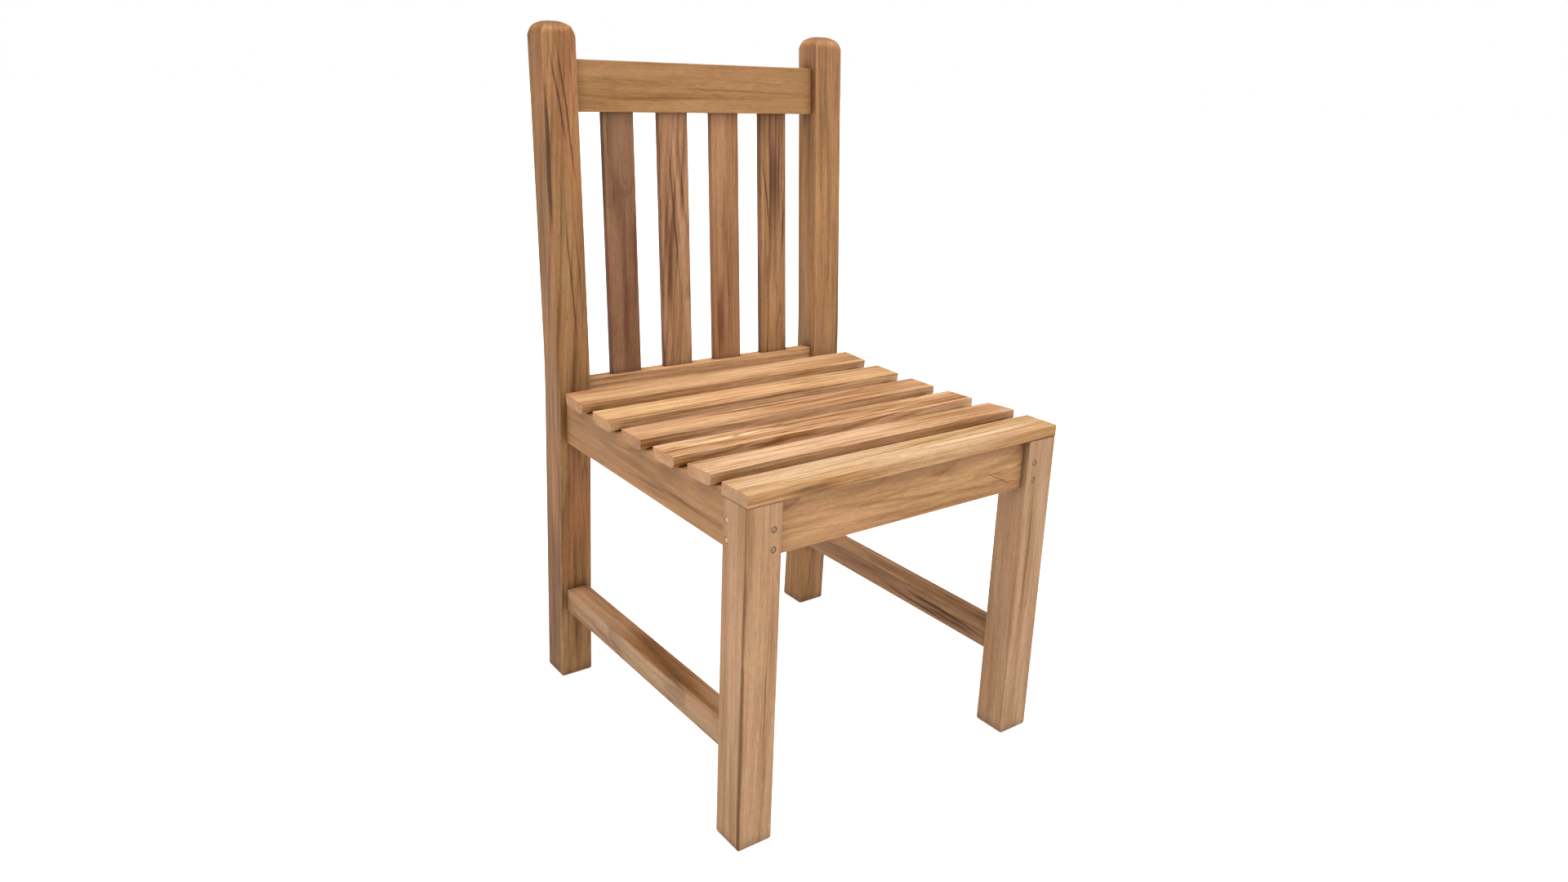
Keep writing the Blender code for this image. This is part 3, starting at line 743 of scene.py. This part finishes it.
@dataclass
class Legs:
    """The two front legs and the two bent back posts."""

    timber: Timber
    post_lean: float = RAKE / 2  # the grain of a bent post runs between its two straights
    front_left: Teak = Teak(
        "bd956e", "8b6136", ring=3.0, contrast=0.35, pith=(120, 60), vein=0.14, seed=1.3,
        streaks=(
            Streak(-23, -60, 7, 800, 0.0, 1.2, depth=-22, reach=10),
            Streak(-22, 20, 10, 420, 0.0, -0.5, depth=0, reach=20),
            Streak(8, -60, 5, 300, 0.0, 0.4),
        ),
    )
    front_right: Teak = Teak(
        "bc9773", "8c6336", ring=3.4, contrast=0.3, pith=(-90, 80), vein=0.083, seed=4.1,
        streaks=(
            Streak(4, -120, 20, 240, 0.0, -0.3),
            Streak(-8, 60, 4, 260, 0.01, 0.5),
        ),
    )
    back_left: Teak = Teak(
        "a67e51", "70461e", ring=7.0, contrast=0.6, pith=(60, -70), lean=(0.06, 0.01), vein=0.44,
        edge=0.15, blush="b5764a", blush_share=0.5, seed=8.7,
        streaks=(
            Streak(6, 335, 4, 250, -0.11, 1.25),
            Streak(-6, 362, 4, 170, -0.15, 1.1),
            Streak(-22, 290, 7, 300, 0.0, 1.6, depth=-26, reach=14),
            Streak(14, 380, 3, 150, -0.03, 0.8),
            Streak(2, 130, 5, 260, -0.05, 0.7),
            Streak(12, 160, 4, 200, -0.04, 0.5),
            Streak(12, 296, 1.6, 3, 0.0, 1.5),
            Streak(18, 428, 12, 60, 0.0, 0.6),
        ),
    )
    back_right: Teak = Teak("b88655", "6a461e", ring=4.0, contrast=0.4, pith=(80, 90), vein=0.22, seed=6.2)

    def build(self) -> None:
        """Dresses the four uprights."""
        self.timber.dress("front_leg_left", Lie.UPRIGHT, self.front_left)
        self.timber.dress("front_leg_right", Lie.UPRIGHT, self.front_right)
        self.timber.dress("back_post_left", Lie.UPRIGHT, self.back_left, -self.post_lean)
        self.timber.dress("back_post_right", Lie.UPRIGHT, self.back_right, -self.post_lean)


@dataclass
class SeatFrame:
    """The rails under the seat and the stretchers."""

    timber: Timber
    front_rail: Teak = Teak(
        "c29462", "946538", ring=6.0, pith=(-25, 45), lean=(0.03, 0.05), wander=6, vein=0.39, seed=2.9,
        streaks=(
            Streak(6, 0, 7, 380, 0.085, 0.4),
            Streak(-4, -60, 5, 260, 0.03, 0.3),
            Streak(11, 148, 1.6, 76, 0.46, 1.1),
            Streak(18, 166, 1.4, 40, 0.1, 0.8),
            Streak(30, 0, 12, 470, 0.0, 0.35),
            Streak(14, -110, 16, 180, -0.02, -0.6),
            Streak(-14, 120, 12, 170, 0.0, -0.45),
        ),
    )
    side_rail: Teak = Teak(
        "b78653", "7f5427", ring=5.5, contrast=0.4, pith=(20, -60), vein=0.22, seed=3.7,
        streaks=(
            Streak(-8, -60, 8, 230, 0.06, 0.3),
            Streak(4, 60, 14, 260, 0.03, 0.3),
            Streak(-14, 90, 10, 240, 0.0, -0.3),
        ),
    )
    right_seed: float = 5.5  # the right side rail is cut from the same wood, elsewhere
    left_stretcher: Teak = Teak(
        "b3916b", "875b32", ring=5.0, contrast=0.45, pith=(8, 50), vein=0.39, seed=9.1,
        streaks=(
            Streak(17, -40, 9, 260, 0.0, 0.7),
            Streak(-4, 60, 5, 220, 0.03, 0.4),
        ),
    )
    right_stretcher: Teak = Teak(
        "bd9267", "6d4a29", ring=6.0, contrast=0.6, pith=(-15, 30), wander=8, vein=0.5, seed=7.7,
        streaks=(
            Streak(2, -110, 6, 200, 0.04, 1.4),
            Streak(-8, -60, 5, 200, 0.05, 1.1),
            Streak(-6, -130, 8, 160, 0.02, 0.8),
            Streak(6, 60, 6, 200, 0.0, 0.5),
        ),
    )

    def build(self) -> None:
        """Dresses the rails and the stretchers."""
        right_rail = replace(self.side_rail, seed=self.right_seed)
        self.timber.dress("front_rail", Lie.ACROSS_ON_EDGE, self.front_rail)
        self.timber.dress("side_rail_left", Lie.FORE_AND_AFT, self.side_rail)
        self.timber.dress("side_rail_right", Lie.FORE_AND_AFT, right_rail)
        self.timber.dress("side_stretcher_left", Lie.FORE_AND_AFT, self.left_stretcher)
        self.timber.dress("side_stretcher_right", Lie.FORE_AND_AFT, self.right_stretcher)


@dataclass
class Seat:
    """The five slats on the dished rails, from the back, and the wide one in front."""

    timber: Timber
    dish_radius: float = DISH_RADIUS
    slats: tuple[Teak, ...] = (
        Teak(
            "e1b689", "99632a", ring=3.4, contrast=0.4, pith=(60, 40), vein=0.17, streak_width=2.6,
            streak=0.42, edge=0.12, seed=11.0,
        ),
        Teak(
            "ecc18a", "845020", ring=3.8, contrast=0.5, pith=(-50, 45), vein=0.33, streak_width=2.6,
            streak=0.42, edge=0.12, seed=12.4,
            streaks=(
                Streak(9, 98, 3, 130, -0.11, 0.9),
                Streak(-6, 98, 3, 130, 0.11, 0.8),
                Streak(2, 80, 6, 90, 0.0, 0.5),
                Streak(-12, -90, 4, 250, 0.02, 0.7),
                Streak(10, -130, 9, 180, 0.0, -0.5),
            ),
        ),
        Teak(
            "d6aa7f", "884e14", ring=4.2, contrast=0.55, pith=(40, 50), vein=0.33, streak_width=2.6,
            streak=0.42, edge=0.12, seed=13.9,
            streaks=(
                Streak(15, -60, 5, 300, 0.0, 0.8),
                Streak(2, 60, 4, 330, -0.03, 0.7),
                Streak(-12, 100, 5, 240, 0.02, 0.5),
                Streak(-6, -120, 9, 200, 0.0, -0.5),
            ),
        ),
        Teak(
            "f1c698", "8b5213", ring=5.0, contrast=0.6, pith=(30, 35), lean=(0.04, 0.02), vein=0.5,
            streak_width=2.6, streak=0.42, edge=0.12, seed=15.2,
            streaks=(
                Streak(-12, 120, 3, 250, 0.06, 1.0),
                Streak(-4, 170, 3, 120, 0.02, 0.8),
                Streak(10, 30, 4, 300, -0.02, 0.7),
                Streak(3, -130, 16, 240, 0.0, -0.6),
                Streak(-14, -100, 4, 220, 0.0, 0.5),
            ),
        ),
        Teak(
            "ebc49e", "9e6d33", ring=5.0, contrast=0.45, pith=(-45, 50), vein=0.22, streak_width=2.6,
            streak=0.42, edge=0.12, seed=16.6,
            streaks=(
                Streak(0, 130, 70, 300, 0.0, 0.4),
                Streak(8, -90, 5, 200, 0.03, 0.6),
                Streak(-8, -140, 6, 160, 0.0, 0.45),
                Streak(-2, -150, 20, 180, 0.0, -0.5),
            ),
        ),
        Teak(
            "dfbf9b", "a4732f", ring=4.6, contrast=0.6, pith=(50, 30), vein=0.17, streak_width=2.6,
            streak=0.42, edge=0.2, seed=18.3,
            streaks=(
                Streak(-12, -120, 3, 240, 0.02, 0.7),
                Streak(6, -20, 4, 330, 0.04, 0.7),
                Streak(14, 110, 3, 240, 0.0, 0.6),
                Streak(-5, 120, 12, 260, 0.0, -0.5),
                Streak(-20, -150, 30, 110, 0.0, 0.6, depth=-2, reach=14),
            ),
        ),
    )

    def build(self) -> None:
        """Dresses the seat slats, each tipped as it lies on the dish."""
        for k, wood in enumerate(self.slats, 1):
            turn = dish_turn(f"seat_slat_{k}", self.dish_radius) if k < len(self.slats) else 0.0
            self.timber.dress(f"seat_slat_{k}", Lie.ACROSS_FLAT, wood, turn)


@dataclass
class Back:
    """The two back rails and the upright slats between them, left to right."""

    timber: Timber
    rake: float = RAKE
    top_rail: Teak = Teak(
        "ac8151", "8c5c2b", ring=6.5, contrast=0.35, pith=(-30, 90), vein=0.17, seed=21.0,
        streaks=(
            Streak(2, 60, 5, 260, 0.02, 0.5),
            Streak(-10, 100, 3, 180, 0.03, 0.45),
            Streak(14, -60, 6, 240, -0.02, 0.35),
        ),
    )
    lower_rail: Teak = Teak("e5af78", "693a1b", ring=4.5, contrast=0.4, pith=(40, 60), vein=0.22, seed=22.7)
    slats: tuple[Teak, ...] = (
        Teak(
            "8a6646", "6f4126", ring=6.0, contrast=0.5, pith=(10, 60), vein=0.22, edge=0.35, seed=24.1,
            streaks=(
                Streak(-6, 60, 16, 110, 0.0, 0.55),
                Streak(7, 20, 7, 190, 0.0, -0.55),
                Streak(18, -20, 4, 180, 0.02, 0.9),
                Streak(2, -110, 10, 160, 0.03, 0.5),
                Streak(-21, 150, 5, 70, 0.0, -0.9),
                Streak(-17, 140, 1.5, 70, -0.03, 0.9),
            ),
            knots=(Knot(across=8, along=98, width=15, length=44, push=14),),
        ),
        Teak(
            "b58861", "6b3e1b", ring=6.0, contrast=0.5, pith=(30, 40), lean=(0.07, 0.02), vein=0.33,
            edge=0.35, seed=25.8,
            streaks=(
                Streak(-13, -20, 14, 300, -0.02, 0.5),
                Streak(-1, 20, 5, 300, -0.07, 0.6),
                Streak(11, 80, 7, 180, -0.09, 0.5),
                Streak(5, 60, 7, 260, -0.08, -0.6),
                Streak(15, -80, 12, 180, 0.0, -0.35),
            ),
        ),
        Teak(
            "aa7f54", "77401c", ring=4.0, contrast=0.35, pith=(-60, 60), vein=0.11, edge=0.35, seed=27.5,
            knots=(Knot(across=-4, along=2, width=9, length=20, push=4),),
            streaks=(
                Streak(3, -60, 2, 230, -0.03, 0.9),
                Streak(-6, 90, 22, 200, 0.0, -0.35),
                Streak(-10, -110, 18, 150, 0.05, 0.45),
            ),
        ),
        Teak(
            "ae8050", "5f381a", ring=5.5, contrast=0.6, pith=(25, 30), vein=0.52, streak_width=3,
            edge=0.35, seed=29.2,
            streaks=(
                Streak(10, 90, 3, 200, 0.0, 1.0),
                Streak(17, 20, 4, 130, 0.05, 0.9),
                Streak(-13, 60, 3, 150, -0.12, 1.0),
                Streak(0, 90, 20, 170, 0.0, 0.3),
                Streak(-2, -100, 18, 150, 0.0, -0.4),
            ),
        ),
    )

    def build(self) -> None:
        """Dresses the raked back."""
        self.timber.dress("top_rail", Lie.ACROSS_ON_EDGE, self.top_rail, -self.rake)
        self.timber.dress("lower_back_rail", Lie.ACROSS_ON_EDGE, self.lower_rail, -self.rake)
        for k, wood in enumerate(self.slats, 1):
            self.timber.dress(f"back_slat_{k}", Lie.UPRIGHT, wood, -self.rake)


# Turned pieces.

TURNED_SHARP_ANGLE = math.radians(40)


def skin(name: str, rings: np.ndarray) -> bpy.types.Object:
    """Makes a closed mesh from rings of points, whose first and last rings shrink to a point each.

    Args:
        name: The object's name.
        rings: Points, as an array of rings by points by three.

    Returns:
        The object, with faces pointing outwards.
    """
    rows, columns = rings.shape[:2]
    here = np.arange(rows * columns).reshape(rows, columns)
    after = np.roll(here, -1, axis=1)
    quads = np.stack([here[:-1], after[:-1], after[1:], here[1:]], axis=-1).reshape(-1, 4)
    first, last = rows * columns, rows * columns + 1
    foot = np.stack([np.full(columns, first), after[0], here[0]], axis=-1)
    head = np.stack([np.full(columns, last), here[-1], after[-1]], axis=-1)
    points = np.concatenate([rings.reshape(-1, 3), rings[0].mean(0)[None], rings[-1].mean(0)[None]])
    mesh = bpy.data.meshes.new(name)
    mesh.from_pydata(points.tolist(), [], [*quads.tolist(), *foot.tolist(), *head.tolist()])
    mesh.shade_smooth()
    mesh.set_sharp_from_angle(angle=TURNED_SHARP_ANGLE)
    piece = bpy.data.objects.new(name, mesh)
    bpy.context.scene.collection.objects.link(piece)
    return piece


@dataclass
class Pegs:
    """The dowels that lock the tenons, turned with fine flutes and cut off just below the face."""

    sides: int = 64
    flutes: int = 16
    flute_depth: float = 0.12 * MM
    head_dome: float = 0.15 * MM
    chamfer: float = 0.4 * MM
    front_end: DowelEnd = DowelEnd("a38463", "7c6348", "54402c")
    side_end: DowelEnd = DowelEnd("dcb690", "c49e76", "96704c")
    names: tuple[str, ...] = tuple(
        f"{face}_peg_{side}_{number}"
        for face in ("front", "side")
        for side in ("left", "right")
        for number in (1, 2)
    )

    def build(self) -> None:
        """Turns the eight pegs and dresses them."""
        for name in self.names:
            low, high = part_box(name)
            axis = 1 if name.startswith("front") else 0
            piece = self._turn(name, low, high, axis)
            finish = self.front_end if axis else self.side_end
            across = tuple(0.0 if k == axis else 1.0 for k in range(3))
            wood = finish.material(f"dowel_end_sawn_{name}", (low + high) / 2, across)
            piece.data.materials.append(wood)
            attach(piece, BODY)
            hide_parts(name)
            LOG.info("turned %s", name)

    def _turn(self, name: str, low: Vector, high: Vector, axis: int) -> bpy.types.Object:
        """Turns one peg inside its packed box.

        The radius is the box's half-width less the flutes, a raised cosine of the angle that fades out at the
        head, and it closes over the domed head and the chamfered foot.

        Args:
            name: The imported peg's name.
            low: The box's lowest corner.
            high: The box's highest corner.
            axis: The number of the axis that it runs along.

        Returns:
            The peg.
        """
        length = high[axis] - low[axis]
        radius = (high[2] - low[2]) / 2
        angle = np.linspace(0, 2 * np.pi, self.sides, endpoint=False)
        # Each row is (share of the radius, place from the foot, depth of the flutes).
        rows = [(0.3, 0.0, 0.0), (0.85, 0.0, 0.0), (1.0, self.chamfer, 0.0), (1.0, 2 * self.chamfer, 1.0)]
        rows += [(1.0, length - 8 * self.chamfer, 1.0), (1.0, length - 6 * self.chamfer, 0.0)]
        rows += [(1.0, length - 2 * self.head_dome, 0.0), (0.97, length - self.head_dome, 0.0)]
        rows += [(0.7, length - 0.4 * self.head_dome, 0.0), (0.3, length, 0.0)]
        share, run, fluted = np.array(rows).T
        wave = self.flute_depth * (1 - np.cos(self.flutes * angle)) / 2
        reach = radius * share[:, None] - fluted[:, None] * wave[None, :]
        height = np.repeat(run[:, None], self.sides, axis=1)
        local = np.stack([reach * np.cos(angle), reach * np.sin(angle), height], axis=-1)
        middle = (low + high) / 2
        outward = math.copysign(1.0, middle[axis])
        quarter = math.copysign(math.pi / 2, outward)
        basis = Matrix.Rotation(-quarter, 3, "X") if axis else Matrix.Rotation(quarter, 3, "Y")
        foot = Vector(middle)
        foot[axis] = low[axis] if outward > 0 else high[axis]
        return skin(f"{name}_turned", local @ np.array(basis).T + np.array(foot))


@dataclass
class Screws:
    """The screws that hold the slats down, with a rolled thread and a cross recess in a flat head."""

    sides: int = 32
    pitch: float = 2.2 * MM
    thread_depth: float = 0.45 * MM
    steps_per_turn: int = 10
    recess_reach: float = 2.4 * MM
    recess_width: float = 0.7 * MM
    recess_depth: float = 1.4 * MM
    head_height: float = 2.5 * MM
    head_radius: float = 4.0 * MM
    rim: float = 0.3 * MM
    point: float = 4.0 * MM  # length of the tapered tip
    tip_share: float = 0.1  # how blunt the tip is, as a share of the shank
    thread_steepness: float = 5.0
    wall_steepness: float = 2.0  # of the recess
    face_rings: int = 12  # circles that make up the head's face
    face_span: tuple[float, float] = (0.06, 0.9)  # the inmost and the outmost, as shares of the head's radius
    end_gap: float = 0.2 * MM  # left free at the tip
    shank_radius: float = 2.0 * MM
    dish_radius: float = DISH_RADIUS
    plate: ZincPlate = ZincPlate()

    def build(self) -> None:
        """Makes the twelve screws and dresses them."""
        steel = self.plate.material()
        names = [f"seat_screw_{side}_{k}" for side in ("left", "right") for k in range(1, 6)]
        for name in [*names, "front_screw_left", "front_screw_right"]:
            low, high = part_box(name)
            turn = dish_turn(name, self.dish_radius) if name in names else 0.0
            piece = self._roll(name, low, high, turn)
            piece.data.materials.append(steel)
            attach(piece, BODY)
            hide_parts(name)
            LOG.info("rolled %s", name)

    def _roll(self, name: str, low: Vector, high: Vector, turn: float) -> bpy.types.Object:
        """Makes one screw inside its packed box, head down.

        The thread is a ridge whose height is a triangle wave of the turn: run over pitch less angle over a full
        turn. The head's face is a grid of circles, sunk where it lies within the arms of a cross.

        Args:
            name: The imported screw's name.
            low: The box's lowest corner.
            high: The box's highest corner.
            turn: How far it leans with its slat, in radians.

        Returns:
            The screw.
        """
        length = high[2] - low[2] - self.end_gap
        angle = np.linspace(0, 2 * np.pi, self.sides, endpoint=False)
        face = np.linspace(*self.face_span, self.face_rings) * self.head_radius
        cosine, sine = np.cos(angle), np.sin(angle)
        x, y = face[:, None] * cosine, face[:, None] * sine
        arm = np.minimum(np.abs(x), np.abs(y))
        inside = np.clip((self.recess_width - arm) / self.recess_width * self.wall_steepness, 0, 1)
        near = np.clip((self.recess_reach - face[:, None]) / self.recess_reach * self.wall_steepness, 0, 1)
        sunk = self.recess_depth * inside * near
        cap = np.stack([x, y, sunk], axis=-1)
        edge = [(self.head_radius, self.rim), (self.head_radius, self.head_height)]
        edge.append((self.shank_radius, self.head_height))
        sides = [np.stack([r * cosine, r * sine, np.full(self.sides, z)], axis=-1) for r, z in edge]
        start = self.head_height + self.pitch
        turns = (length - start) / self.pitch
        run = np.linspace(start, length, int(turns * self.steps_per_turn))
        phase = np.mod(run[:, None] / self.pitch - angle[None, :] / (2 * np.pi), 1.0)
        ridge = np.clip(1 - np.abs(phase - 0.5) * self.thread_steepness, 0, 1) * self.thread_depth
        taper = np.clip((length - run) / self.point, self.tip_share, 1)[:, None]
        reach = (self.shank_radius - self.thread_depth + ridge) * taper
        height = np.repeat(run[:, None], self.sides, axis=1)
        shank = np.stack([reach * cosine, reach * sine, height], axis=-1)
        local = np.concatenate([cap, np.array(sides), shank])
        centre = (low + high) / 2
        local[..., 2] -= length / 2
        basis = np.array(Matrix.Rotation(turn, 3, "X"))
        return skin(f"{name}_threaded", local @ basis.T + np.array(centre))


# Studio.


@dataclass(frozen=True)
class Lamp:
    """A far-off soft lamp: where it stands, seen from the chair, how wide it looks, and its strength."""

    name: str
    azimuth: float  # degrees, 0 in front of the chair and 90 to its right
    elevation: float
    width: float
    strength: float


@dataclass
class Studio:
    """A white floor, an even bright room, soft lamps and the camera. Lengths are in metres."""

    room_light: float = 0.14
    floor_half: float = 30.0
    lamps: tuple[Lamp, ...] = (
        Lamp("overhead", -60.0, 84.0, 70.0, 3.6),
        Lamp("left", -80.0, 20.0, 70.0, 0.8),
        Lamp("front", 10.0, 20.0, 70.0, 1.15),
    )
    azimuth: float = math.radians(37.08)
    elevation: float = math.radians(16.427)
    roll: float = 0.0384
    distance: float = 1.4599
    aim: tuple[float, float, float] = (0.0, -0.0060, 0.4377)
    lens: float = 25.447
    sensor: float = 36.0
    shift: tuple[float, float] = (-0.00318, -0.02739)

    def build(self) -> None:
        """Sets up the room, the floor, the lamps and the camera."""
        self._room()
        self._floor()
        for lamp in self.lamps:
            self._hang(lamp)
        self._camera()
        bpy.context.scene.view_settings.view_transform = "Standard"
        LOG.info("studio ready")

    def _room(self) -> None:
        """Fills the room with even white light, and has it look pure white behind the chair."""
        world = bpy.data.worlds.new("room")
        world.use_nodes = True
        tree = world.node_tree
        seen = add(tree, "LightPath").outputs["Is Camera Ray"]
        strength = add(tree, "MapRange", {"Value": seen, "To Min": self.room_light, "To Max": 1.0})
        back = tree.nodes["Background"]
        back.inputs["Color"].default_value = (1.0, 1.0, 1.0, 1.0)
        tree.links.new(strength.outputs[0], back.inputs["Strength"])
        bpy.context.scene.world = world

    def _floor(self) -> None:
        """Lays a wide white floor under the chair."""
        half = self.floor_half
        mesh = bpy.data.meshes.new("floor")
        corners = [(-half, -half, 0), (half, -half, 0), (half, half, 0), (-half, half, 0)]
        mesh.from_pydata(corners, [], [(0, 1, 2, 3)])
        floor = bpy.data.objects.new("floor", mesh)
        bpy.context.scene.collection.objects.link(floor)
        mesh.materials.append(SweepPaint().material())

    def _hang(self, lamp: Lamp) -> None:
        """Adds a lamp as a wide sun, so that it lights the whole floor alike.

        Args:
            lamp: The lamp.
        """
        light = bpy.data.lights.new(lamp.name, "SUN")
        light.energy = lamp.strength
        light.angle = math.radians(lamp.width)
        around, above = math.radians(lamp.azimuth), math.radians(lamp.elevation)
        level = math.cos(above)
        towards = Vector((level * math.sin(around), -level * math.cos(around), math.sin(above)))
        sun = bpy.data.objects.new(lamp.name, light)
        sun.rotation_euler = towards.to_track_quat("Z", "Y").to_euler()
        bpy.context.scene.collection.objects.link(sun)

    def _camera(self) -> None:
        """Sets the camera by its direction, roll and distance from the point it aims at."""
        camera = bpy.data.cameras.new("camera")
        camera.lens = self.lens
        camera.sensor_width = self.sensor
        camera.shift_x, camera.shift_y = self.shift
        camera.clip_start = 0.01
        level = math.cos(self.elevation)
        ahead = (level * math.sin(self.azimuth), level * math.cos(self.azimuth), -math.sin(self.elevation))
        forward = Vector(ahead)
        right = forward.cross(Vector((0, 0, 1))).normalized()
        up = right.cross(forward)
        turned = right * math.cos(self.roll) + up * math.sin(self.roll)
        basis = Matrix((turned, turned.cross(forward), -forward)).transposed()
        place = Vector(self.aim) - forward * self.distance
        viewer = bpy.data.objects.new("camera", camera)
        viewer.matrix_world = Matrix.Translation(place) @ basis.to_4x4()
        bpy.context.scene.collection.objects.link(viewer)
        bpy.context.scene.camera = viewer


def main() -> None:
    """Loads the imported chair, dresses every piece and sets up the studio."""
    logging.basicConfig(level=logging.INFO, format="%(message)s")
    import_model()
    timber = Timber()
    for assembly in (Legs(timber), SeatFrame(timber), Seat(timber), Back(timber), Pegs(), Screws(), Studio()):
        assembly.build()


if __name__ == "__main__":
    main()
